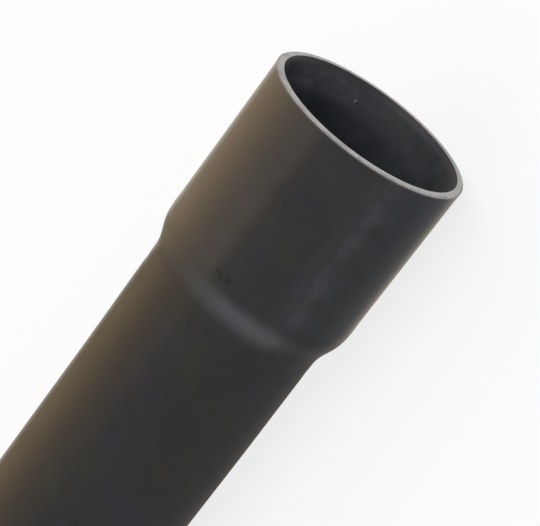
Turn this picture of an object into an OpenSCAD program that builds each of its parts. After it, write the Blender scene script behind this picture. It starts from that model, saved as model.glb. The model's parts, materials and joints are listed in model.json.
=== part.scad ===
// Length of PVC-U pressure pipe with a solvent-cement socket, lying on its side.
// The pipe is one extrusion. Its socket is blown out of the same wall over a plug,
// so the wall gets thinner there and meets the pipe in a shoulder of two bends.
// Frame: +X runs along the axis to the socket, +Z is up, and z = 0 is the floor
// under the socket. The origin is halfway along.

/* [Pipe] */
// Outside diameter
pipe_od = 110; // [90:1:160]
// Wall thickness
pipe_wall = 6.6; // [5.3:0.1:10]
// Length that one pipe adds to a line, which leaves out its socket
laying_length = 1000; // [500:100:6000]

/* [Spigot end] */
// Length of the bevel that eases the spigot into a socket
spigot_bevel_length = 8; // [3:0.5:8]
// Angle between the bevel and the axis
spigot_bevel_angle = 15; // [10:1:25]

/* [Socket] */
// How far the next pipe goes in
socket_depth = 105; // [80:1:140]
// Gap that the cement fills, taken on the diameter
cement_gap = 0.2; // [0.1:0.05:0.6]
// Share of the pipe's wall that is left once the socket is blown out
wall_left_in_socket = 0.88; // [0.75:0.01:1]

/* [Shoulder] */
// Steepest slope between the pipe and its socket
shoulder_angle = 21; // [15:1:30]
// Share of the rise that the two bends take, with a short straight cone between them
shoulder_roundness = 0.77; // [0.6:0.01:0.9]

/* [Mouth] */
// Length of the lead-in inside the mouth
lead_in_length = 3.2; // [1:0.1:6]
// Width of the lead-in, seen end on
lead_in_width = 1.65; // [0.5:0.05:2]
// Length of the trimmed outer edge
rim_bevel_length = 0.9; // [0.3:0.1:3]
// Width of the trimmed outer edge, seen end on
rim_bevel_width = 1.2; // [0.3:0.1:1.6]

/* [Finish] */
// Facets in each bend of the shoulder
bend_steps = 6; // [3:1:12]
// Facets round the pipe in a preview
round_facets = 144; // [48:12:240]

/* [Hidden] */

pipe_radius = pipe_od / 2;
bore_radius = pipe_radius - pipe_wall;
socket_wall = pipe_wall * wall_left_in_socket;
socket_bore_radius = pipe_radius + cement_gap / 2;
socket_radius = socket_bore_radius + socket_wall;
total_length = laying_length + socket_depth;
spigot_bevel_width = spigot_bevel_length * tan(spigot_bevel_angle);

// Each bend turns the wall through the shoulder's angle, about the same centre
// inside and out, so the wall keeps its thickness round the bend.
outer_rise = socket_radius - pipe_radius;
bore_rise = socket_bore_radius - bore_radius;
bend_radius = shoulder_roundness * outer_rise / 2 / (1 - cos(shoulder_angle));
bore_bend_at_socket = bend_radius - socket_wall;
bore_bend_at_pipe = bend_radius + pipe_wall;
bore_shoulder_end = total_length - socket_depth;
bore_shoulder_middle =
    bore_shoulder_end
    - bore_bend_at_socket * sin(shoulder_angle)
    - cone_length(bore_rise, bore_bend_at_pipe + bore_bend_at_socket) / 2;
mean_wall = (pipe_wall + socket_wall) / 2;
outer_shoulder_middle = bore_shoulder_middle - mean_wall * sin(shoulder_angle);

// Length along the axis of the straight cone that is left between two bends
function cone_length(rise, bends) =
    (rise - bends * (1 - cos(shoulder_angle))) / tan(shoulder_angle);

// Points [radius, place along the axis] up a shoulder, from the pipe to the socket
function shoulder(low, high, low_bend, high_bend, middle) =
    let (half_cone = cone_length(high - low, low_bend + high_bend) / 2)
    let (start = middle - half_cone - low_bend * sin(shoulder_angle))
    let (end = middle + half_cone + high_bend * sin(shoulder_angle))
    [
        for (i = [0 : bend_steps])
            let (turn = shoulder_angle * i / bend_steps)
            [low + low_bend * (1 - cos(turn)), start + low_bend * sin(turn)],
        for (i = [bend_steps : -1 : 0])
            let (turn = shoulder_angle * i / bend_steps)
            [high - high_bend * (1 - cos(turn)), end - high_bend * sin(turn)],
    ];

function reversed(points) = [for (i = [len(points) - 1 : -1 : 0]) points[i]];

// Outside of the wall, from the spigot's end face to the mouth
outside = concat(
    [
        [pipe_radius - spigot_bevel_width, 0],
        [pipe_radius, spigot_bevel_length],
    ],
    shoulder(pipe_radius, socket_radius, bend_radius, bend_radius, outer_shoulder_middle),
    [
        [socket_radius, total_length - rim_bevel_length],
        [socket_radius - rim_bevel_width, total_length],
    ]
);

// Inside of the wall, from the spigot's end face to the mouth
inside = concat(
    [[bore_radius, 0]],
    shoulder(
        bore_radius, socket_bore_radius, bore_bend_at_pipe, bore_bend_at_socket,
        bore_shoulder_middle
    ),
    [
        [socket_bore_radius, total_length - lead_in_length],
        [socket_bore_radius + lead_in_width, total_length],
    ]
);

// The whole pipe is one wall, turned about its axis
module pipe() {
    color([0.24, 0.23, 0.21])
        translate([-total_length / 2, 0, socket_radius])
            rotate([0, 90, 0])
                rotate_extrude($fn = round_facets)
                    polygon(concat(outside, reversed(inside)));
}

pipe();
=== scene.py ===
"""Looks of a belled PVC-U pressure pipe that lies on its side, around its CAD frame."""

import json
import math
from types import SimpleNamespace

import bpy
from mathutils import Matrix, Vector


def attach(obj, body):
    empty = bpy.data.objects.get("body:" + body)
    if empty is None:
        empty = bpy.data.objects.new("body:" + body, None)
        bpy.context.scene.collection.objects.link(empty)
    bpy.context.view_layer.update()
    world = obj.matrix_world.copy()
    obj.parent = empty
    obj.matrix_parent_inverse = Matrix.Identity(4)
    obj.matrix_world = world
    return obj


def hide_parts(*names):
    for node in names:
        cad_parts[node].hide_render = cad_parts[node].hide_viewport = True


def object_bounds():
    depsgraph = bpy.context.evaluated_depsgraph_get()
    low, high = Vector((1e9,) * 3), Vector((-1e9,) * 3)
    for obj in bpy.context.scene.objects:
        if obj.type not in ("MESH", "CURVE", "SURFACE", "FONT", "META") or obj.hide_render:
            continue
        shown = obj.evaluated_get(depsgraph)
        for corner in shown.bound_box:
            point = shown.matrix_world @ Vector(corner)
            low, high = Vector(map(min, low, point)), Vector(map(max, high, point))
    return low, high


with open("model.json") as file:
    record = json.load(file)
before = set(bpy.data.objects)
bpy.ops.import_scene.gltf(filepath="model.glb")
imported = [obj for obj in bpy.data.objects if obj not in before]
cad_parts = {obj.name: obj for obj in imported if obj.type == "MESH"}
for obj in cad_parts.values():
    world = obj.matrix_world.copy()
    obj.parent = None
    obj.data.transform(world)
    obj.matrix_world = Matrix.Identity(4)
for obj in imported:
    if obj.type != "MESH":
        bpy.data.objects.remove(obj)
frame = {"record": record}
cad_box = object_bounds()

# ---------------------------------------------------------------- measures, in metres
SPIGOT_END = cad_box[0].x
MOUTH = cad_box[1].x
SOCKET_RADIUS = (cad_box[1].z - cad_box[0].z) / 2
AXIS = Vector((0, 0, cad_box[0].z + SOCKET_RADIUS))
mounts = {m["name"]: m for m in frame["record"]["mounts"]}
PIPE_RADIUS = mounts["spigot"]["dims"]["r_mm"] / 1000
SOCKET_BORE = mounts["socket"]["dims"]["r_mm"] / 1000
BEVEL_END = mounts["spigot"]["pos_m"][0]
LEAD_IN_START = mounts["socket"]["pos_m"][0]
SOCKET_BOTTOM = LEAD_IN_START - mounts["socket"]["dims"]["length_mm"] / 1000
SHOULDER_START = BEVEL_END + mounts["spigot"]["dims"]["length_mm"] / 1000
WALL = 0.0066
BORE_RADIUS = PIPE_RADIUS - WALL
SPIGOT_BEVEL = 0.00214     # how far in the spigot's bevel goes
LEAD_IN = 0.00165          # how far out the lead-in goes inside the mouth
RIM_BEVEL_LENGTH = 0.0009
RIM_BEVEL_WIDTH = 0.0012
SHOULDER_ANGLE = math.radians(21)
BEND_RADIUS = 0.0342       # of the outside, at either end of the shoulder's cone
SOCKET_BEND = 0.0274       # the outside bend next to the socket came out tighter than the other
SHOULDER_SLIP = 0.0021     # and the outside shoulder a little nearer the mouth than it is drawn
SIDES = 256
BEND_STEPS = 7
RING_GAP = 0.05            # greatest gap between rings on a straight stretch
SWELL = 0.00017            # how far the hot bell stands proud just past its shoulder
SWELL_AT = MOUTH - 0.1015
WAIST = 0.00014            # how far the pipe draws in just before the shoulder
WAIST_AT = MOUTH - 0.139
RIPPLE_HALF = 0.006        # half the length of either ripple
RIPPLE_GAP = 0.0015
FLARE = 0.0002             # how far the mouth flares
FLARE_CURVE = [(-0.01, 0), (-0.006, 0.25), (-0.003, 0.6)]   # (from the mouth, share of it)
FLARE_START = MOUTH + FLARE_CURVE[0][0]
STRAY = 0.0005             # how far the pipe's axis strays from the bell's, just behind the shoulder
STRAY_WAY = Vector((0, 1, 1)).normalized()
STRAY_FROM = MOUTH - 0.112
STRAY_MOST = MOUTH - 0.132
STRAY_END = MOUTH - 0.215
STRAY_GAP = 0.01           # gap between rings on that stretch
EDGE_ROUNDING = 0.00022
LEAD_IN_ROUNDING = 0.0013
SAME_PLACE = 1e-5
CREASE = math.radians(14)  # an edge that turns by more than this stays crisp

# Corners of the wall, as (x, radius)
SPIGOT_CORNERS = [(SPIGOT_END, PIPE_RADIUS - SPIGOT_BEVEL), (BEVEL_END, PIPE_RADIUS)]
RIM_CORNERS = [
    (MOUTH - RIM_BEVEL_LENGTH, SOCKET_RADIUS + FLARE),
    (MOUTH, SOCKET_RADIUS + FLARE - RIM_BEVEL_WIDTH),
]
BORE_CORNER = (SPIGOT_END, BORE_RADIUS)
LEAD_IN_CORNER = (LEAD_IN_START, SOCKET_BORE)
MOUTH_CORNER = (MOUTH, SOCKET_BORE + LEAD_IN)


# ---------------------------------------------------------------- outline of the wall
def shoulder_run(rise, bends):
    """Length along the axis of two bends and the cone between them; bends is both radii together."""
    cone = (rise - bends * (1 - math.cos(SHOULDER_ANGLE))) / math.tan(SHOULDER_ANGLE)
    return cone + bends * math.sin(SHOULDER_ANGLE)


def shoulder(start, low, high, low_bend, high_bend):
    """(x, radius) up a shoulder that begins at start, from the pipe to the socket."""
    turns = [SHOULDER_ANGLE * i / BEND_STEPS for i in range(BEND_STEPS + 1)]
    end = start + shoulder_run(high - low, low_bend + high_bend)
    rising = [(start + low_bend * math.sin(t), low + low_bend * (1 - math.cos(t))) for t in turns]
    levelling = [(end - high_bend * math.sin(t), high - high_bend * (1 - math.cos(t))) for t in turns]
    return rising + levelling[::-1]


def straight(x0, x1, radius, gap=RING_GAP):
    """(x, radius) along a straight stretch, ends left out."""
    count = max(1, round(abs(x1 - x0) / gap))
    return [(x0 + (x1 - x0) * i / count, radius) for i in range(1, count)]


def ripple(x, centre):
    """1 at the ripple's centre, falling smoothly to 0 at its ends."""
    reach = abs(x - centre) / RIPPLE_HALF
    return math.cos(reach * math.pi / 2) ** 2 if reach < 1 else 0


def rippled(rings):
    """The outside's rings with the swell and the waist on either side of the shoulder."""
    return [(x, r + SWELL * ripple(x, SWELL_AT) - WAIST * ripple(x, WAIST_AT)) for x, r in rings]


def smooth(share):
    """A smooth step from 0 to 1."""
    share = min(max(share, 0), 1)
    return share * share * (3 - 2 * share)


def centre_at(x):
    """The wall's centre at x: on the axis, but for the stretch behind the shoulder."""
    if x > STRAY_MOST:
        stray = smooth((STRAY_FROM - x) / (STRAY_FROM - STRAY_MOST))
    else:
        stray = smooth((x - STRAY_END) / (STRAY_MOST - STRAY_END))
    return AXIS + Vector((x, 0, 0)) + STRAY * stray * STRAY_WAY


def outline():
    """(x, radius) round the wall: along the outside, over the mouth and back along the inside."""
    socket_wall = SOCKET_RADIUS - SOCKET_BORE
    shoulder_start = SHOULDER_START + SHOULDER_SLIP
    outer = shoulder(shoulder_start, PIPE_RADIUS, SOCKET_RADIUS, BEND_RADIUS, SOCKET_BEND)
    pipe_bend, socket_bend = BEND_RADIUS + WALL, BEND_RADIUS - socket_wall
    inner_start = SOCKET_BOTTOM - shoulder_run(SOCKET_BORE - BORE_RADIUS, pipe_bend + socket_bend)
    inner = shoulder(inner_start, BORE_RADIUS, SOCKET_BORE, pipe_bend, socket_bend)
    out = list(SPIGOT_CORNERS)
    waist_start, swell_end = WAIST_AT - RIPPLE_HALF, SWELL_AT + RIPPLE_HALF
    out += straight(BEVEL_END, STRAY_END, PIPE_RADIUS) + [(STRAY_END, PIPE_RADIUS)]
    out += straight(STRAY_END, waist_start, PIPE_RADIUS, STRAY_GAP) + [(waist_start, PIPE_RADIUS)]
    out += straight(waist_start, shoulder_start, PIPE_RADIUS, RIPPLE_GAP) + outer
    out += straight(outer[-1][0], swell_end, SOCKET_RADIUS, RIPPLE_GAP)
    out = rippled(out) + [(swell_end, SOCKET_RADIUS)]
    out += straight(swell_end, FLARE_START, SOCKET_RADIUS)
    out += [(MOUTH + x, SOCKET_RADIUS + FLARE * share) for x, share in FLARE_CURVE] + RIM_CORNERS
    back = [BORE_CORNER] + straight(SPIGOT_END, inner[0][0], BORE_RADIUS) + inner
    back += straight(inner[-1][0], LEAD_IN_START, SOCKET_BORE) + [LEAD_IN_CORNER, MOUTH_CORNER]
    return out + back[::-1]


# ---------------------------------------------------------------- the pipe
def build_pipe():
    """The wall: one ring, extruded along the outside, over the mouth and back, then closed."""
    rings = outline()
    x, radius = rings[0]
    bpy.ops.object.select_all(action="DESELECT")
    bpy.ops.mesh.primitive_circle_add(
        vertices=SIDES, radius=radius, location=(x, 0, AXIS.z), rotation=(0, math.pi / 2, 0))
    pipe = bpy.context.object
    pipe.name = "pipe_wall"
    bpy.ops.object.transform_apply(location=True, rotation=True, scale=True)
    bpy.ops.object.mode_set(mode="EDIT")
    bpy.ops.mesh.select_all(action="SELECT")
    for next_x, next_radius in rings[1:]:
        centre = centre_at(next_x)
        bpy.ops.mesh.extrude_region_move(TRANSFORM_OT_translate={"value": centre - centre_at(x)})
        factor = next_radius / radius
        bpy.ops.transform.resize(value=(1, factor, factor), center_override=centre)
        x, radius = next_x, next_radius
    bpy.ops.mesh.select_all(action="DESELECT")
    bpy.ops.mesh.select_non_manifold()
    bpy.ops.mesh.bridge_edge_loops()
    sharp = SPIGOT_CORNERS + RIM_CORNERS + [BORE_CORNER, MOUTH_CORNER]
    round_edges(pipe, sharp, EDGE_ROUNDING, segments=2)
    round_edges(pipe, [LEAD_IN_CORNER], LEAD_IN_ROUNDING, segments=4)
    bpy.ops.mesh.select_all(action="SELECT")
    bpy.ops.mesh.normals_make_consistent(inside=False)
    bpy.ops.object.mode_set(mode="OBJECT")
    bpy.ops.object.shade_smooth_by_angle(angle=CREASE)
    return pipe


def round_edges(pipe, corners, rounding, segments):
    """Round the ring edges at these (x, radius) corners."""
    bpy.ops.mesh.select_all(action="DESELECT")
    bpy.ops.object.mode_set(mode="OBJECT")
    mesh = pipe.data
    placed = [(v.co.x, math.hypot(v.co.y, v.co.z - AXIS.z)) for v in mesh.vertices]

    def at_corner(index, corner):
        x, radius = placed[index]
        return abs(x - corner[0]) < SAME_PLACE and abs(radius - corner[1]) < SAME_PLACE

    for edge in mesh.edges:
        one, other = edge.vertices
        edge.select = any(at_corner(one, c) and at_corner(other, c) for c in corners)
    bpy.ops.object.mode_set(mode="EDIT")
    bpy.ops.mesh.select_mode(type="EDGE")
    bpy.ops.mesh.bevel(offset=rounding, segments=segments, profile=0.5, affect="EDGES")
    bpy.ops.mesh.select_mode(type="VERT")


def around(place):
    """Angle about the pipe's axis: 0 along the top, positive down the camera's side."""
    return math.atan2(-place.y, place.z - AXIS.z)


def arc(degrees):
    """The wrap map's second coordinate at an angle about the axis: a length on the pipe."""
    return math.radians(degrees) * PIPE_RADIUS


def wrap_map(pipe):
    """A map in metres: along the pipe, then around it, cut where the pipe meets the floor."""
    layer = pipe.data.uv_layers.new(name="wrap")
    for face in pipe.data.polygons:
        middle = around(face.center)
        for loop in face.loop_indices:
            place = pipe.data.vertices[pipe.data.loops[loop].vertex_index].co
            angle = around(place)
            if angle - middle > math.pi:
                angle -= 2 * math.pi
            elif middle - angle > math.pi:
                angle += 2 * math.pi
            layer.data[loop].uv = (place.x, angle * PIPE_RADIUS)


# ---------------------------------------------------------------- shader helpers
def add(tree, kind, inputs=None, **settings):
    """Add a node. An input is a value or another node's output."""
    node = tree.nodes.new(kind)
    for name, value in settings.items():
        setattr(node, name, value)
    for name, value in (inputs or {}).items():
        if isinstance(value, bpy.types.NodeSocket):
            tree.links.new(value, node.inputs[name])
        else:
            node.inputs[name].default_value = value
    return node


def maths(tree, operation, a, b=0.0):
    """One step of arithmetic on two values."""
    return add(tree, "ShaderNodeMath", {0: a, 1: b}, operation=operation).outputs[0]


def times(tree, *values):
    """The product of several values."""
    result = values[0]
    for value in values[1:]:
        result = maths(tree, "MULTIPLY", result, value)
    return result


def total(tree, *values):
    """The sum of several values."""
    result = values[0]
    for value in values[1:]:
        result = maths(tree, "ADD", result, value)
    return result


def ease(tree, value, start, end, low=0.0, high=1.0):
    """A smooth step from low at start to high at end."""
    inputs = {"Value": value, "From Min": start, "From Max": end, "To Min": low, "To Max": high}
    return add(tree, "ShaderNodeMapRange", inputs, interpolation_type="SMOOTHSTEP").outputs[0]


def span(tree, value, rise, full, fall, end):
    """A smooth hump: 0 before rise, 1 from full to fall, 0 after end."""
    return times(tree, ease(tree, value, rise, full), ease(tree, value, end, fall))


def around_zone(tree, girth, zone):
    """A smooth hump around the pipe, over a zone in degrees."""
    return span(tree, girth, *[arc(degrees) for degrees in zone])


def around_step(tree, girth, degrees):
    """A smooth step around the pipe, between two angles in degrees."""
    return ease(tree, girth, *[arc(each) for each in degrees])


def along_zone(tree, along, zone):
    """A smooth hump along the pipe, over a zone in metres from the mouth."""
    return span(tree, along, *[MOUTH + x for x in zone])


def along_step(tree, along, places):
    """A smooth step along the pipe, between two places in metres from the mouth."""
    return ease(tree, along, *[MOUTH + x for x in places])


def oval(tree, at, middle, half):
    """How far out a place lies in an oval, from 0 at its middle to 1 at its edge, and how far
    around the pipe it is from the middle, as a share of the oval's half."""
    x = maths(tree, "DIVIDE", maths(tree, "SUBTRACT", at.along, MOUTH + middle[0]), half[0])
    y = maths(tree, "DIVIDE", maths(tree, "SUBTRACT", at.girth, arc(middle[1])), half[1])
    return maths(tree, "ADD", times(tree, x, x), times(tree, y, y)), y


def tint(tree, share, below, above):
    """Above laid over below by share."""
    inputs = {0: share, 6: below, 7: above}
    return add(tree, "ShaderNodeMix", inputs, data_type="RGBA").outputs[2]


def layered(tree, color, layers):
    """Colours laid over a first one, each as (mask, share, colour)."""
    for mask, share, over in layers:
        color = tint(tree, times(tree, mask, share), color, over)
    return color


def scaled(tree, vector, level):
    """A colour or vector scaled by a value."""
    return add(tree, "ShaderNodeVectorMath", {0: vector, "Scale": level}, operation="SCALE").outputs[0]


def noise(tree, place, scale, detail=2.0, roughness=0.5):
    """Soft noise between 0 and 1; scale is in spots to a metre."""
    inputs = {"Vector": place, "Scale": scale, "Detail": detail, "Roughness": roughness}
    return add(tree, "ShaderNodeTexNoise", inputs).outputs["Fac"]


def patchy(tree, place, scale, edges, levels=(0.0, 1.0), detail=2.0, roughness=0.6):
    """Soft noise made into patches: a smooth step between two of its values."""
    return ease(tree, noise(tree, place, scale, detail, roughness), *edges, *levels)


def new_group(name, inputs, output):
    """An empty group with one float output. An input that starts at None is a vector, any other
    a float."""
    tree = bpy.data.node_groups.new(name, "ShaderNodeTree")
    for label, start in inputs.items():
        kind = "NodeSocketVector" if start is None else "NodeSocketFloat"
        socket = tree.interface.new_socket(name=label, in_out="INPUT", socket_type=kind)
        if start is not None:
            socket.default_value = start
    tree.interface.new_socket(name=output, in_out="OUTPUT", socket_type="NodeSocketFloat")
    return tree, tree.nodes.new("NodeGroupInput").outputs, tree.nodes.new("NodeGroupOutput").inputs


def use(tree, group, **inputs):
    """Place a group in a tree with its own values; an input's underscores stand for spaces."""
    node = tree.nodes.new("ShaderNodeGroup")
    node.node_tree = group
    for name, value in inputs.items():
        socket = node.inputs[name.replace("_", " ")]
        if isinstance(value, bpy.types.NodeSocket):
            tree.links.new(value, socket)
        else:
            socket.default_value = value
    return node.outputs[0]


# ---------------------------------------------------------------- shared effects
COARSE_LINES = 0.22                # how fine the grain's broad lines are, against its fine ones
SCRATCH_STEP = (0.66, 0.74)        # only what is this high in the noise is a scratch
ELSEWHERE = (3.1, 1.7, 0.4)        # takes the patches from another part of the noise
PATCHES = 26.0                     # to a metre
SHAKE_FINENESS = 1500.0            # noise that shakes the spots out of round
SHAKE_REACH = 0.0005
DUST_GRAINS = 2600.0               # to a metre


def make_drawn_grain():
    """Fine lines that the die and the cooling sleeve leave along an extrusion."""
    inputs = {"Wrap": None, "Fineness": 900.0, "Stretch": 120.0}
    tree, given, out = new_group("drawn grain", inputs, "Grain")
    parts = add(tree, "ShaderNodeSeparateXYZ", {0: given["Wrap"]}).outputs
    slow = maths(tree, "DIVIDE", given["Fineness"], given["Stretch"])
    place = {0: times(tree, parts[0], slow), 1: times(tree, parts[1], given["Fineness"])}
    fine = noise(tree, add(tree, "ShaderNodeCombineXYZ", place).outputs[0], 1.0, 3.0, 0.6)
    coarse = noise(tree, add(tree, "ShaderNodeCombineXYZ", place).outputs[0], COARSE_LINES)
    tree.links.new(maths(tree, "ADD", times(tree, fine, 0.6), times(tree, coarse, 0.4)), out["Grain"])
    return tree


def make_rub_marks():
    """Sparse straight scratches in patches, all at one slant to the pipe."""
    inputs = {"Wrap": None, "Slant": 0.1, "Length": 0.04, "Width": 0.0004, "Share": 0.3}
    tree, given, out = new_group("rub marks", inputs, "Marks")
    turned = {"Vector": given["Wrap"], "Angle": given["Slant"]}
    turned = add(tree, "ShaderNodeVectorRotate", turned, rotation_type="Z_AXIS").outputs[0]
    parts = add(tree, "ShaderNodeSeparateXYZ", {0: turned}).outputs
    x = maths(tree, "DIVIDE", parts[0], given["Length"])
    y = maths(tree, "DIVIDE", parts[1], given["Width"])
    place = add(tree, "ShaderNodeCombineXYZ", {0: x, 1: y, 2: given["Slant"]}).outputs[0]
    lines = patchy(tree, place, 1.0, SCRATCH_STEP, detail=1.0, roughness=0.5)
    shifted = add(tree, "ShaderNodeVectorMath", {0: turned, 1: ELSEWHERE}, operation="ADD").outputs[0]
    # The larger the share, the more of the noise counts as a patch
    edge = maths(tree, "SUBTRACT", 0.8, times(tree, given["Share"], 0.6))
    patches = ease(tree, noise(tree, shifted, PATCHES, 2.0), edge, maths(tree, "ADD", edge, 0.12))
    tree.links.new(times(tree, lines, patches), out["Marks"])
    return tree


def make_specks():
    """Scattered small round spots: pits, chips or grit."""
    inputs = {"Place": None, "Spacing": 0.004, "Size": 0.0004, "Share": 0.4}
    tree, given, out = new_group("specks", inputs, "Specks")
    scale = maths(tree, "DIVIDE", 1.0, given["Spacing"])
    shake = {"Vector": given["Place"], "Scale": SHAKE_FINENESS}
    shake = scaled(tree, add(tree, "ShaderNodeTexNoise", shake).outputs["Color"], SHAKE_REACH)
    place = {0: given["Place"], 1: shake}
    place = add(tree, "ShaderNodeVectorMath", place, operation="ADD").outputs[0]
    cells = add(tree, "ShaderNodeTexVoronoi", {"Vector": place, "Scale": scale}).outputs
    draw = add(tree, "ShaderNodeSeparateColor", {0: cells["Color"]}).outputs
    # Most spots are small, and few have the full size
    own_size = total(tree, times(tree, draw[1], draw[1], 0.75), 0.25)
    radius = times(tree, maths(tree, "DIVIDE", given["Size"], given["Spacing"]), own_size)
    spot = ease(tree, cells["Distance"], radius, times(tree, radius, 0.45))
    chosen = maths(tree, "LESS_THAN", draw[0], given["Share"])
    tree.links.new(times(tree, spot, chosen), out["Specks"])
    return tree


def make_settled_dust():
    """Dust that has come down on what faces up, thicker in soft clumps."""
    inputs = {"Place": None, "Facing": None, "Clump Size": 0.03}
    tree, given, out = new_group("settled dust", inputs, "Dust")
    up_part = add(tree, "ShaderNodeSeparateXYZ", {0: given["Facing"]}).outputs[2]
    scale = maths(tree, "DIVIDE", 1.0, given["Clump Size"])
    clumps = patchy(tree, given["Place"], scale, (0.3, 0.75), (0.35, 1.0), detail=4.0)
    grains = patchy(tree, given["Place"], DUST_GRAINS, (0.35, 0.7), (0.5, 1.0), 1.0, 0.5)
    tree.links.new(times(tree, ease(tree, up_part, 0.1, 0.95), clumps, grains), out["Dust"])
    return tree


def make_mottle():
    """Soft cloudy difference from place to place, about 0, between -1 and 1."""
    tree, given, out = new_group("mottle", {"Place": None, "Cloud Size": 0.03}, "Tone")
    scale = maths(tree, "DIVIDE", 1.0, given["Cloud Size"])
    cloud = noise(tree, given["Place"], scale, 5.0, 0.55)
    tree.links.new(ease(tree, cloud, 0.22, 0.78, -1.0, 1.0), out["Tone"])
    return tree


DRAWN_GRAIN = make_drawn_grain()
RUB_MARKS = make_rub_marks()
SPECKS = make_specks()
SETTLED_DUST = make_settled_dust()
MOTTLE = make_mottle()


def start_material(name, specular):
    """A material with its tree, its shader and the coordinates that its patterns use."""
    m = bpy.data.materials.new(name)
    m.use_nodes = True
    tree = m.node_tree
    shader = tree.nodes["Principled BSDF"]
    shader.inputs["Specular IOR Level"].default_value = specular
    coords = add(tree, "ShaderNodeTexCoord").outputs
    wrap = add(tree, "ShaderNodeUVMap", uv_map="wrap").outputs[0]
    parts = add(tree, "ShaderNodeSeparateXYZ", {0: wrap}).outputs
    at = SimpleNamespace(place=coords["Object"], facing=coords["Normal"], wrap=wrap,
                         along=parts[0], girth=parts[1])
    return m, tree, shader, at


def finish_material(tree, shader, color, roughness, height):
    """Connect a material's colour, roughness and relief; height is in millimetres."""
    bump = add(tree, "ShaderNodeBump", {"Height": height, "Strength": 1.0, "Distance": 0.001})
    tree.links.new(color, shader.inputs["Base Color"])
    tree.links.new(roughness, shader.inputs["Roughness"])
    tree.links.new(bump.outputs[0], shader.inputs["Normal"])


# ---------------------------------------------------------------- outer skin
PIPE_GREY = (0.0215, 0.0212, 0.0202, 1)
SOCKET_GREY = (0.0265, 0.0255, 0.0245, 1)
# Sun-browned plastic on the top side, which also paints in the warm sheen that the light gives there
SUN_BROWN_AND_SHEEN = (0.0285, 0.0215, 0.0125, 1)
# A paler bleached film on the socket's lit side, which also paints in the width of the warm sheen there
BLEACHED_SHEEN_GREY = (0.062, 0.055, 0.048, 1)
# Painted shade with a cool tint, on the socket's lower side towards the camera
COOL_SHADE_GREY = (0.011, 0.017, 0.021, 1)
# Painted warm reflection: a brown laid over the underside that lights up the pipe's lower edge
WARM_REFLECTION_BROWN = (0.13, 0.1, 0.066, 1)
SCUFF_GREY = (0.1, 0.098, 0.108, 1)
CHAFED_GREY = (0.094, 0.097, 0.124, 1)
# A polished pale grey for the rubbed shoulder ring, which also paints in part of the shoulder's
# highlight
POLISHED_HIGHLIGHT_GREY = (0.082, 0.08, 0.086, 1)
RIM_WORN = (0.15, 0.15, 0.148, 1)
PALE_DUST = (0.26, 0.24, 0.21, 1)
# Black for pits and the nick, and also for painted shade
PIT_AND_SHADE_BLACK = (0.008, 0.008, 0.008, 1)
OLIVE_TINGE = (0.027, 0.0275, 0.0165, 1)
VIOLET_TINGE = (0.0245, 0.0215, 0.032, 1)

# Zones are where something starts, is full from, is full to and ends: along the pipe in
# metres from the mouth, around it in degrees from the top, positive down the camera's side.
BLOWN_STEP = (-0.128, -0.108)                     # where the skin turns smooth, as on a blown bell
SOCKET_ZONE = (-0.113, -0.098, -0.004, 0.01)
SUN_AND_SHEEN_ZONE = (-84, -52, -15, 35)
BLEACHED_SHEEN_ZONE = (-45, 5, 22, 31)
COOL_SHADE_ZONE = (74, 92, 100, 120)
WARM_REFLECTION_STEP = (108, 140)
BODY_SHADE_STEP = (80, 110)                           # painted shade on the body's underside
CHAFE_LINE = (68, 74, 77, 84)
CHAFE_RIM = (56, 70, 82, 93)
WORN_HIGHLIGHT_RING = (-0.1252, -0.1142, -0.112, -0.1028)   # where the shoulder is rubbed bright, and its highlight partly painted in
WORN_HIGHLIGHT_SIDE = (5, 45, 68, 95)
RING_LEAN = 0.05                                  # how far that ring leans along, for each metre around
RING_PIVOT = -45                                  # the angle at which it leans by nothing
SHADE_AND_DULL_RING = (-0.131, -0.12, -0.108, -0.099)     # where the shoulder is duller and painted darker as shade, on either side of that
SHADE_AND_DULL_ABOVE = (-34, -20, -8, 14)
SHADE_AND_DULL_BELOW = (68, 85, 95, 118)
EDGE_STEP = (-0.0021, -0.0009)
NICK_MIDDLE = (-0.0988, 31)
NICK_HALF = (0.0023, 0.0054)
CHAFE_CLUMPS = 70.0                               # to a metre, as are the next three
CHAFE_GRAINS = 380.0
EDGE_GRAINS = 500.0
PEEL_GRAINS = 240.0
SKIN_SPECULAR = 0.167
BODY_ROUGHNESS = 0.47
SOCKET_ROUGHNESS = 0.33
# Seen at a slant, from the first of these to the second, smooth plastic mirrors more sharply.
SOCKET_GLANCE = (0.6, 0.82)
BODY_GLANCE = (0.72, 0.88)
BODY_GLANCE_STEP = (75, 30)
GLANCE_GLOSS = -0.21


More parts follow.
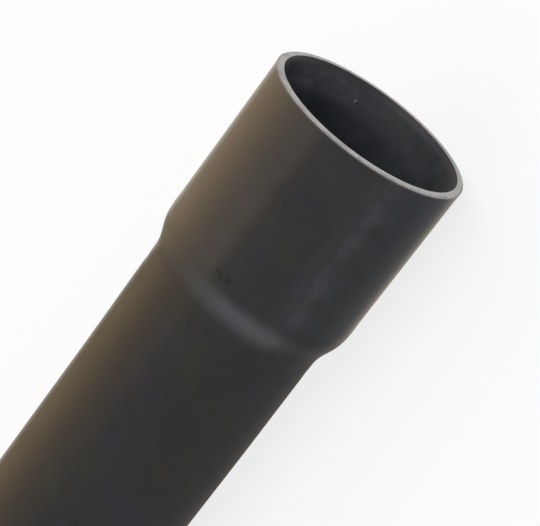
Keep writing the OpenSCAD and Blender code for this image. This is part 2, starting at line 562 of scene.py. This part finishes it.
def outer_skin():
    """The weathered outside: drawn grain on the body, a smooth bell, sun, chafing and dirt, with
    painted sheen, highlight, reflection and shade.
    """
    m, tree, shader, at = start_material("weathered skin", SKIN_SPECULAR)
    place, along, girth = at.place, at.along, at.girth
    grain = use(tree, DRAWN_GRAIN, Wrap=at.wrap, Fineness=700.0, Stretch=150.0)
    clouds = use(tree, MOTTLE, Place=place, Cloud_Size=0.035)
    blots = use(tree, MOTTLE, Place=place, Cloud_Size=0.006)
    tinge = use(tree, MOTTLE, Place=place, Cloud_Size=0.021)
    torn = use(tree, MOTTLE, Place=place, Cloud_Size=0.0028)
    wobble = use(tree, MOTTLE, Place=place, Cloud_Size=0.05)
    dust = use(tree, SETTLED_DUST, Place=place, Facing=at.facing, Clump_Size=0.05)
    pits = use(tree, SPECKS, Place=place, Spacing=0.0075, Size=0.0006, Share=0.35)
    lengthways = use(tree, RUB_MARKS, Wrap=at.wrap, Slant=0.05, Length=0.05, Width=0.0005, Share=0.45)
    crossways = use(tree, RUB_MARKS, Wrap=at.wrap, Slant=0.9, Length=0.02, Width=0.0004, Share=0.25)
    marks = maths(tree, "MAXIMUM", lengthways, crossways)
    wavy_girth = maths(tree, "ADD", girth, times(tree, wobble, arc(2.5)))

    blown = along_step(tree, along, BLOWN_STEP)
    on_body = maths(tree, "SUBTRACT", 1.0, blown)
    on_socket = along_zone(tree, along, SOCKET_ZONE)
    # sun browning on the top side, partly a painted warm sheen
    sun_brown_and_sheen = around_zone(tree, wavy_girth, SUN_AND_SHEEN_ZONE)
    # bleached film on the socket's lit side, partly a painted warm sheen
    bleached_and_sheen = times(tree, around_zone(tree, wavy_girth, BLEACHED_SHEEN_ZONE),
                     total(tree, times(tree, on_socket, 0.8), 0.2))
    # painted cool shade on the socket's lower side
    painted_cool_shade = times(tree, around_zone(tree, wavy_girth, COOL_SHADE_ZONE), on_socket)
    # painted shade on the body's underside
    body_painted_shade = times(tree, around_step(tree, wavy_girth, BODY_SHADE_STEP), on_body)
    # painted warm reflection over the underside, stronger on the socket
    warm_underside_reflection = times(tree, around_step(tree, wavy_girth, WARM_REFLECTION_STEP),
                   total(tree, times(tree, on_socket, 0.5), 0.5),
                   ease(tree, clouds, -1.0, 1.0, 0.6, 1.0))
    chafed = maths(tree, "MAXIMUM", around_zone(tree, wavy_girth, CHAFE_LINE),
                   times(tree, around_zone(tree, wavy_girth, CHAFE_RIM), 0.42))
    chafed = times(tree, chafed, on_socket,
                   patchy(tree, place, CHAFE_CLUMPS, (0.36, 0.62), (0.3, 1.0), detail=3.0),
                   patchy(tree, place, CHAFE_GRAINS, (0.3, 0.7), (0.6, 1.0)))
    leaning = total(tree, along, times(tree, girth, RING_LEAN), arc(RING_PIVOT) * RING_LEAN)
    worn_highlight_side = around_zone(tree, girth, WORN_HIGHLIGHT_SIDE)
    # rubbed ring on the shoulder, partly a painted highlight, strongest on one side
    worn_and_highlight = times(tree, along_zone(tree, leaning, WORN_HIGHLIGHT_RING),
                 total(tree, times(tree, worn_highlight_side, 0.88), 0.12),
                 ease(tree, clouds, -1.0, 0.8, 0.7, 1.0))
    # painted shade on the shoulder, where it is also made duller
    painted_shade_and_dull = total(tree, times(tree, around_zone(tree, girth, SHADE_AND_DULL_ABOVE), 0.52),
                   around_zone(tree, girth, SHADE_AND_DULL_BELOW))
    painted_shade_and_dull = times(tree, painted_shade_and_dull, along_zone(tree, along, SHADE_AND_DULL_RING))
    edge_worn = times(tree, along_step(tree, along, EDGE_STEP),
                      patchy(tree, place, EDGE_GRAINS, (0.3, 0.65), (0.5, 1.0)))
    nick = oval(tree, at, NICK_MIDDLE, NICK_HALF)[0]
    nick = ease(tree, maths(tree, "ADD", nick, times(tree, torn, 1.5)), 1.0, 0.0)

    color = layered(tree, tint(tree, blown, PIPE_GREY, SOCKET_GREY), [
        (ease(tree, tinge, 0.15, 0.9), 0.4, OLIVE_TINGE),
        (ease(tree, tinge, -0.05, -0.8), 0.45, VIOLET_TINGE),
        (sun_brown_and_sheen, 0.8, SUN_BROWN_AND_SHEEN),
        (bleached_and_sheen, 0.48, BLEACHED_SHEEN_GREY),
        (painted_cool_shade, 0.6, COOL_SHADE_GREY),
    ])
    tone = total(tree, times(tree, clouds, 0.07), times(tree, blots, 0.05),
                 times(tree, grain, 0.3), 0.85)
    color = layered(tree, scaled(tree, color, tone), [
        (chafed, 0.26, CHAFED_GREY),
        (worn_and_highlight, 0.83, POLISHED_HIGHLIGHT_GREY),
        (painted_shade_and_dull, 0.35, PIT_AND_SHADE_BLACK),
        (body_painted_shade, 0.3, PIT_AND_SHADE_BLACK),
        (marks, 0.12, SCUFF_GREY),
        (edge_worn, 0.5, RIM_WORN),
        (warm_underside_reflection, 0.3, WARM_REFLECTION_BROWN),
        (dust, 0.03, PALE_DUST),
        (pits, 0.6, PIT_AND_SHADE_BLACK),
        (nick, 0.55, PIT_AND_SHADE_BLACK),
    ])
    slant = add(tree, "ShaderNodeLayerWeight", {"Blend": 0.5}).outputs["Facing"]
    body_glance = times(tree, ease(tree, slant, *BODY_GLANCE), on_body,
                        around_step(tree, girth, BODY_GLANCE_STEP))
    glancing = total(tree, times(tree, ease(tree, slant, *SOCKET_GLANCE), on_socket), body_glance)
    roughness = total(tree, ease(tree, blown, 0.0, 1.0, BODY_ROUGHNESS, SOCKET_ROUGHNESS),
                      times(tree, clouds, 0.03), times(tree, grain, 0.06), times(tree, chafed, 0.1),
                      times(tree, marks, 0.15), times(tree, dust, 0.1),
                      times(tree, glancing, GLANCE_GLOSS), times(tree, painted_shade_and_dull, 0.14), -0.03)
    peel = noise(tree, place, PEEL_GRAINS)
    height = total(tree, times(tree, grain, 0.012), times(tree, peel, 0.02),
                   times(tree, marks, -0.02), times(tree, pits, -0.08), times(tree, nick, -0.2))
    finish_material(tree, shader, color, roughness, height)
    return m


# ---------------------------------------------------------------- bore
# Paler than the outside's plastic: dust, and painted light that makes up for the light the inside lacks
BORE_DUST_AND_LIGHT_GREY = (0.0535, 0.0562, 0.0625, 1)
LEAD_IN_GREY = (0.031, 0.031, 0.034, 1)
# A painted patch of light on the inside, near the mouth
LIT_PATCH_GREY = (0.14, 0.138, 0.15, 1)
# Painted shade deeper in the bore
DEPTH_SHADE_GREY = (0.019, 0.0245, 0.0295, 1)
SMUDGE_DARK = (0.0245, 0.0295, 0.035, 1)
GRIT_WHITE = (0.5, 0.5, 0.48, 1)
LEAD_IN_BLEND = 0.0015
DEPTH_SHADE_STEP = (-0.011, -0.03)
LIT_PATCH_ZONE = (-0.022, -0.012, -0.007, -0.0022)
LIT_PATCH_SIDE = (-124, -106, -94, -62)
RUBBED_STEP = (-0.0065, -0.0025)
RUBBED_SIDE = (-178, -170, -162, -153)
FLECK_MIDDLE = (-0.0123, -119)
FLECK_HALF = (0.0011, 0.0006)
RING_LINES = 900.0         # to a metre, as are the next two
RUBBED_GRAINS = 620.0
SMUDGES = 34.0
BORE_SPECULAR = 0.25


def bore_wall():
    """The dusty inside, its grey partly painted light: forming rings, painted shade deeper in, a
    painted patch of light near the mouth, smudges and grit.
    """
    m, tree, shader, at = start_material("dusty bore", BORE_SPECULAR)
    place, along, girth = at.place, at.along, at.girth
    grain = use(tree, DRAWN_GRAIN, Wrap=at.wrap, Fineness=500.0, Stretch=90.0)
    clouds = use(tree, MOTTLE, Place=place, Cloud_Size=0.028)
    blots = use(tree, MOTTLE, Place=place, Cloud_Size=0.007)
    dust = use(tree, SETTLED_DUST, Place=place, Facing=at.facing, Clump_Size=0.02)
    grit = use(tree, SPECKS, Place=place, Spacing=0.016, Size=0.0005, Share=0.12)
    marks = use(tree, RUB_MARKS, Wrap=at.wrap, Slant=0.04, Length=0.03, Width=0.0006, Share=0.6)
    rings = add(tree, "ShaderNodeCombineXYZ", {0: along}).outputs[0]
    rings = noise(tree, rings, RING_LINES, 3.0, 0.7)
    lead_in = ease(tree, along, LEAD_IN_START - LEAD_IN_BLEND, LEAD_IN_START + LEAD_IN_BLEND)
    # painted shade, darker deeper inside
    painted_depth_shade = along_step(tree, along, DEPTH_SHADE_STEP)
    # painted light near the mouth, on the inner wall that faces the camera
    painted_light_patch = times(tree, around_zone(tree, girth, LIT_PATCH_SIDE),
                    along_zone(tree, along, LIT_PATCH_ZONE))
    rubbed = times(tree, around_zone(tree, girth, RUBBED_SIDE), along_step(tree, along, RUBBED_STEP),
                   patchy(tree, place, RUBBED_GRAINS, (0.45, 0.6)))
    fleck, fleck_around = oval(tree, at, FLECK_MIDDLE, FLECK_HALF)
    fleck = ease(tree, maths(tree, "ADD", fleck, fleck_around), 1.0, 0.6)
    smudged = patchy(tree, place, SMUDGES, (0.5, 0.68), detail=3.0)

    color = layered(tree, tint(tree, lead_in, BORE_DUST_AND_LIGHT_GREY, LEAD_IN_GREY), [
        (painted_depth_shade, 0.72, DEPTH_SHADE_GREY),
        (painted_light_patch, 0.8, LIT_PATCH_GREY),
        (rubbed, 0.4, SCUFF_GREY),
        (smudged, 0.5, SMUDGE_DARK),
    ])
    tone = total(tree, times(tree, clouds, 0.12), times(tree, blots, 0.08),
                 times(tree, grain, 0.2), times(tree, rings, 0.12), 0.84)
    color = layered(tree, scaled(tree, color, tone), [
        (marks, 0.2, SCUFF_GREY),
        (dust, 0.1, PALE_DUST),
    ])
    color = tint(tree, maths(tree, "MAXIMUM", grit, times(tree, fleck, 0.35)), color, GRIT_WHITE)
    roughness = total(tree, times(tree, clouds, 0.04), times(tree, dust, 0.25),
                      times(tree, marks, 0.1), 0.4)
    height = total(tree, times(tree, grain, 0.01), times(tree, rings, 0.008),
                   times(tree, grit, 0.15), times(tree, marks, -0.01))
    finish_material(tree, shader, color, roughness, height)
    return m


# ---------------------------------------------------------------- cut ends
CUT_GREY = (0.405, 0.412, 0.4, 1)
CUT_WARM = (0.455, 0.43, 0.4, 1)
CHIP_GREY = (0.12, 0.12, 0.115, 1)
TURNED_GREY = (0.34, 0.34, 0.33, 1)
EDGE_SHADE_GREY = (0.13, 0.13, 0.128, 1)
EDGE_SHADE_ZONE = (-0.004, -0.003, -0.001, -0.00015)   # painted shade where the rim's bevel rounds over into the skin
TURNED_LINES = 4200.0      # to a metre, as are the stains
STAINS = 120.0
SAW_TURN = (0.6, 0, 0)
SAW_FINENESS = (1, 60, 1400)
CUT_SPECULAR = 0.3


def cut_face(name, own, turned):
    """Bare matt plastic: sawn straight across, or turned to a bevel with rings round the axis."""
    m, tree, shader, at = start_material(name, CUT_SPECULAR)
    place = at.place
    clouds = use(tree, MOTTLE, Place=place, Cloud_Size=0.012)
    blots = use(tree, MOTTLE, Place=place, Cloud_Size=0.002)
    dust = use(tree, SETTLED_DUST, Place=place, Facing=at.facing, Clump_Size=0.01)
    chips = use(tree, SPECKS, Place=place, Spacing=0.0026, Size=0.0009, Share=0.3)
    color = tint(tree, ease(tree, clouds, -0.6, 0.8), own, CUT_WARM)
    if turned:
        lines = add(tree, "ShaderNodeCombineXYZ", {0: at.along}).outputs[0]
        lines = noise(tree, lines, TURNED_LINES, 2.0, 0.7)
        # painted shade on the rim's bevel, next to the skin
        painted_edge_shade = along_zone(tree, at.along, EDGE_SHADE_ZONE)
        color = tint(tree, times(tree, painted_edge_shade, 0.55), color, EDGE_SHADE_GREY)
    else:
        lines = {"Vector": place, "Rotation": SAW_TURN, "Scale": SAW_FINENESS}
        lines = noise(tree, add(tree, "ShaderNodeMapping", lines).outputs[0], 1.0, 2.0, 0.6)
    stains = patchy(tree, place, STAINS, (0.45, 0.7), (0.0, -0.22), detail=3.0)
    tone = total(tree, times(tree, blots, 0.09), times(tree, lines, 0.35), stains, 0.85)
    color = layered(tree, scaled(tree, color, tone), [
        (chips, 0.7, CHIP_GREY),
        (dust, 0.2, PALE_DUST),
    ])
    roughness = total(tree, times(tree, lines, 0.15), times(tree, blots, 0.04), 0.68)
    height = total(tree, times(tree, lines, 0.05), times(tree, chips, -0.12), times(tree, blots, 0.02))
    finish_material(tree, shader, color, roughness, height)
    return m


# ---------------------------------------------------------------- the pipe and its finishes
SKIN, BORE, SAWN, TURNED = range(4)    # in the order in which the pipe is given its finishes
FLAT = 0.97                # how straight along the axis a flat cut face looks
ROUNDED = 0.8              # and the rounded edge of one
RIM_LOOKS = 0.3            # the rim's bevel looks at least this far along the axis
SPIGOT_LOOKS = -0.1        # and the spigot's bevel at least this far the other way
RIM_REACH = 0.002          # how far back from the mouth that bevel is looked for


def finish_of(face):
    """Which finish a face of the wall has, from where it is and which way it looks."""
    outward = face.normal.y * face.center.y + face.normal.z * (face.center.z - AXIS.z)
    if abs(face.normal.x) > FLAT:
        return SAWN
    if face.center.x > MOUTH - RIM_REACH and face.normal.x > RIM_LOOKS and outward > 0:
        return TURNED
    if face.center.x < BEVEL_END and face.normal.x < SPIGOT_LOOKS and outward > 0:
        return TURNED
    if abs(face.normal.x) > ROUNDED:
        return SAWN
    return SKIN if outward > 0 else BORE


pipe = build_pipe()
wrap_map(pipe)
pipe.data.materials.append(outer_skin())
pipe.data.materials.append(bore_wall())
pipe.data.materials.append(cut_face("sawn end", CUT_GREY, turned=False))
pipe.data.materials.append(cut_face("turned bevel", TURNED_GREY, turned=True))
for face in pipe.data.polygons:
    face.material_index = finish_of(face)
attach(pipe, "root")
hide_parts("pipe")

# ---------------------------------------------------------------- floor
FLOOR_SIZE = 60
PAPER_WHITE = (0.86, 0.88, 0.92, 1)
PURE_WHITE = (1, 1, 1, 1)
OWN_WHITE = 0.8            # the share of white that the paper has of itself, lit or not
MIRRORED_WHITE = 0.15      # the same where it is mirrored: little, so the pipe's foot stays dark
# More glow under and behind the pipe, in mirrored rays only: painted reflection on the pipe's edges
MIRRORED_UNDER = 0.42      # under the pipe
MIRRORED_BEHIND = 0.95     # behind it
UNDER_STEP = (-0.06, -0.037)
BEHIND_STEP = (0.05, 0.25)
# Warm glow seen only in mirrored rays: a painted warm reflection on the pipe
MIRRORED_WARM = (1.0, 0.88, 0.68, 1)     # what the pipe mirrors of the floor near it
MIRRORED_FAR = (1.0, 0.76, 0.47, 1)      # and far behind it
FAR_STEP = (0.6, 1.3)


def own_white(tree, mirrored):
    """The share of its own white that a backdrop shows to the ray that sees it."""
    path = add(tree, "ShaderNodeLightPath").outputs
    straight_on = maths(tree, "MAXIMUM", path["Is Camera Ray"], path["Is Transmission Ray"])
    return maths(tree, "MAXIMUM", times(tree, straight_on, OWN_WHITE),
                 times(tree, path["Is Glossy Ray"], mirrored))


def floor_paper():
    """Pale matt paper. Much of its white is its own, so the pipe's shadow stays soft and pale. To
    mirrored rays it glows warmer and brighter under and behind the pipe, a painted reflection on the
    pipe's edges.
    """
    m = bpy.data.materials.new("floor paper")
    m.use_nodes = True
    tree = m.node_tree
    paper = tree.nodes["Principled BSDF"]
    paper.inputs["Base Color"].default_value = PAPER_WHITE
    paper.inputs["Roughness"].default_value = 1
    paper.inputs["Specular IOR Level"].default_value = 0
    place = add(tree, "ShaderNodeTexCoord").outputs["Object"]
    back = add(tree, "ShaderNodeSeparateXYZ", {0: place}).outputs[1]
    under = ease(tree, back, *UNDER_STEP, MIRRORED_WHITE, MIRRORED_UNDER)
    behind = ease(tree, back, *BEHIND_STEP, 0.0, MIRRORED_BEHIND)
    mirrored = maths(tree, "MAXIMUM", under, behind)
    mirrored_ray = add(tree, "ShaderNodeLightPath").outputs["Is Glossy Ray"]
    warm = tint(tree, ease(tree, back, *FAR_STEP), MIRRORED_WARM, MIRRORED_FAR)
    white = tint(tree, mirrored_ray, PURE_WHITE, warm)
    glow = add(tree, "ShaderNodeEmission", {"Color": white, "Strength": 1.0})
    blend = {0: own_white(tree, mirrored), 1: paper.outputs[0], 2: glow.outputs[0]}
    blend = add(tree, "ShaderNodeMixShader", blend)
    tree.links.new(blend.outputs[0], tree.nodes["Material Output"].inputs["Surface"])
    return m


bpy.ops.object.select_all(action="DESELECT")
bpy.ops.mesh.primitive_plane_add(size=FLOOR_SIZE, location=(0, 0, min(0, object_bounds()[0].z)))
floor = bpy.context.object
floor.name = "floor"
floor.data.materials.append(floor_paper())

# ---------------------------------------------------------------- camera
# The lens and what the camera sees of the pipe were fitted to the mouth's circles and the
# pipe's outline in the photo.
LENS = 161.49
SENSOR_WIDTH = 36
FARTHEST_SEEN = 200
AXIS_SEEN = Vector((0.5598, 0.7419, 0.3691)).normalized()    # the pipe's axis, as the camera has it
MOUTH_SEEN = Vector((0.05465, 0.07524, -1.3009))             # the mouth's centre, likewise
ROLL = math.radians(45)    # how far the camera's up leans out of the plane through the axis

toward = Vector((0, 0, 1)) - AXIS_SEEN.z * AXIS_SEEN
toward.normalize()
left = -AXIS_SEEN.cross(toward)
up = math.cos(ROLL) * toward + math.sin(ROLL) * left
side = up.cross(AXIS_SEEN)
turn = Matrix((AXIS_SEEN, side, up))
stand = Vector((MOUTH, 0, AXIS.z)) - turn @ MOUTH_SEEN
cam_data = bpy.data.cameras.new("camera")
cam_data.lens = LENS
cam_data.sensor_width = SENSOR_WIDTH
cam_data.clip_end = FARTHEST_SEEN
cam = bpy.data.objects.new("camera", cam_data)
bpy.context.scene.collection.objects.link(cam)
cam.matrix_world = Matrix.Translation(stand) @ turn.to_4x4()
bpy.context.scene.camera = cam


# ---------------------------------------------------------------- light
LIT_PLACE = Vector((MOUTH - 0.12, 0, AXIS.z))
SKY = (0.558, 0.57, 0.62, 1)


def panel(name, height, lean, distance, tall, wide, radiance, color):
    """A lit panel that faces the socket. height is its bearing in degrees from the horizon on the
    camera's side (0) over the zenith (90) to the horizon behind (180), and lean is how far it
    stands towards the mouth. tall is its size around the pipe and wide its size along it."""
    h, k = math.radians(height), math.radians(lean)
    across = Vector((0, -math.cos(h), math.sin(h)))
    way = math.cos(k) * across + math.sin(k) * Vector((1, 0, 0))
    over = Vector((0, math.sin(h), math.cos(h)))
    data = bpy.data.lights.new(name, "AREA")
    data.shape = "RECTANGLE"
    data.size, data.size_y = tall, wide
    data.energy = math.pi * tall * wide * radiance
    data.color = color
    lamp = bpy.data.objects.new(name, data)
    lamp.visible_camera = False
    bpy.context.scene.collection.objects.link(lamp)
    lamp.location = LIT_PLACE + way * distance
    lamp.rotation_euler = Matrix((over, way.cross(over), way)).transposed().to_euler()


panel("warm wall", height=150, lean=-16, distance=6.0, tall=6.0, wide=5.6, radiance=1.82,
      color=(1.0, 0.67, 0.28))
panel("ceiling light", height=103, lean=-12, distance=3.0, tall=2.2, wide=6.0, radiance=0.4,
      color=(1.0, 0.85, 0.6))
panel("mouth light", height=75, lean=28, distance=2.2, tall=1.6, wide=1.6, radiance=2.1,
      color=(1.0, 0.98, 1.0))
panel("end light", height=26, lean=-53, distance=3.0, tall=3.0, wide=1.0, radiance=1.4,
      color=(0.95, 0.93, 1.0))

world = bpy.data.worlds.new("studio")
bpy.context.scene.world = world
world.use_nodes = True
sky = tint(world.node_tree, own_white(world.node_tree, MIRRORED_WHITE), SKY, PURE_WHITE)
world.node_tree.links.new(sky, world.node_tree.nodes["Background"].inputs["Color"])
bpy.context.scene.view_settings.view_transform = "Standard"
